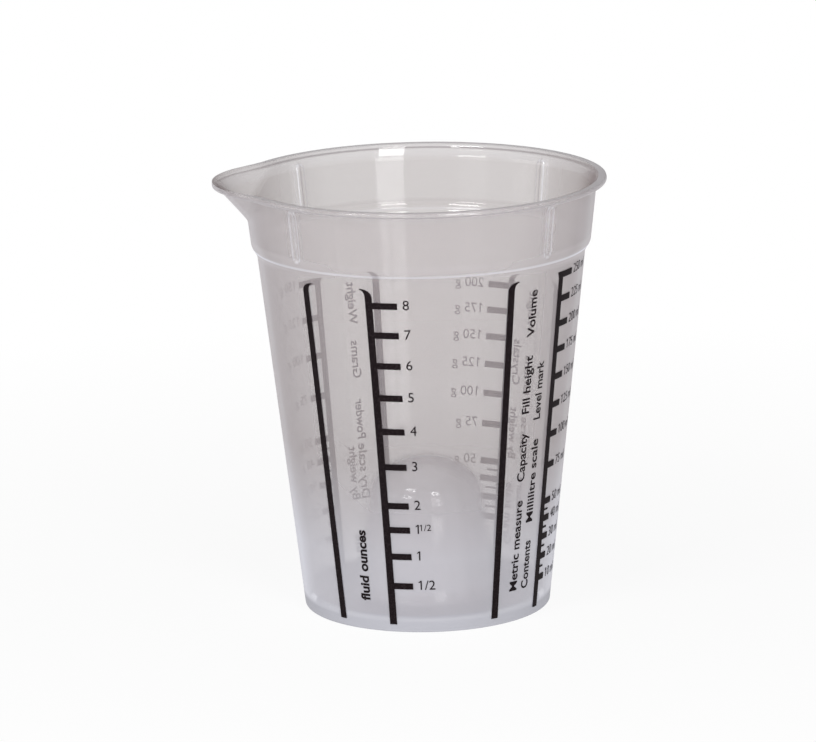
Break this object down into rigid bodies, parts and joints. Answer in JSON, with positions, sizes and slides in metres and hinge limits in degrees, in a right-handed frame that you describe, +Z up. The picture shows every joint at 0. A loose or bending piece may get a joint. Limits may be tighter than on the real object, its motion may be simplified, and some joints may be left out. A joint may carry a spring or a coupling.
{
  "type": "measuring jug",
  "caption": "Tapered clear measuring jug with an out-turned lip, a pouring spout, a stepped collar, a raised dome inside its base and printed volume and weight scales.",
  "frame": {"origin": "middle of the footprint's bounding box, on the plane the foot ring rests on; the cup's axis is at x = +0.0025 m", "axes": "+Z up along the cup's axis, -X the way the spout pours, -Y the side with the ounce and millilitre scales"},
  "size_m": [0.0928, 0.0878, 0.103],
  "materials": {
    "clear_plastic": "translucent natural polypropylene, satin gloss",
    "ink": "screen-printed black ink"
  },
  "bodies": {
    "root": {"cup_body": "clear_plastic", "fluid_ounce_border": "ink", "fluid_ounce_scale": "ink", "millilitre_border": "ink", "millilitre_scale": "ink", "sugar_border": "ink", "sugar_scale": "ink", "flour_border": "ink", "flour_scale": "ink"}
  },
  "joints": []
}
